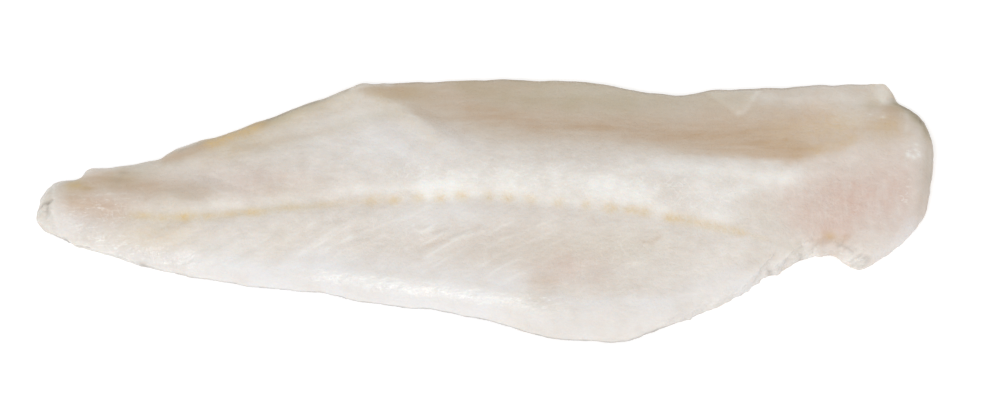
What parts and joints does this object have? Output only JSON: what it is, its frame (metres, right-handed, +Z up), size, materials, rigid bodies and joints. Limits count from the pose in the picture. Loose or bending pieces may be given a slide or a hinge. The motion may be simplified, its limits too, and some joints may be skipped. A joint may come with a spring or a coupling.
{
  "type": "hake fillet",
  "caption": "Raw skinless hake fillet lying flat: tapered tail, rounded head end, belly bulge, bone-line groove and chevron flakes, as a food prop for a plate, board or tray.",
  "frame": {"origin": "centre of the bounding box in plan, on the flat underside", "axes": "+X from tail to head end, +Y from belly edge to back edge, +Z up out of the surface that the fillet lies on"},
  "size_m": [0.3022, 0.102, 0.0205],
  "materials": {
    "flesh": "wet, translucent raw white fish flesh, ivory with grey-brown along the back and pink at the head end"
  },
  "bodies": {
    "root": {"fillet": "flesh"}
  },
  "joints": []
}
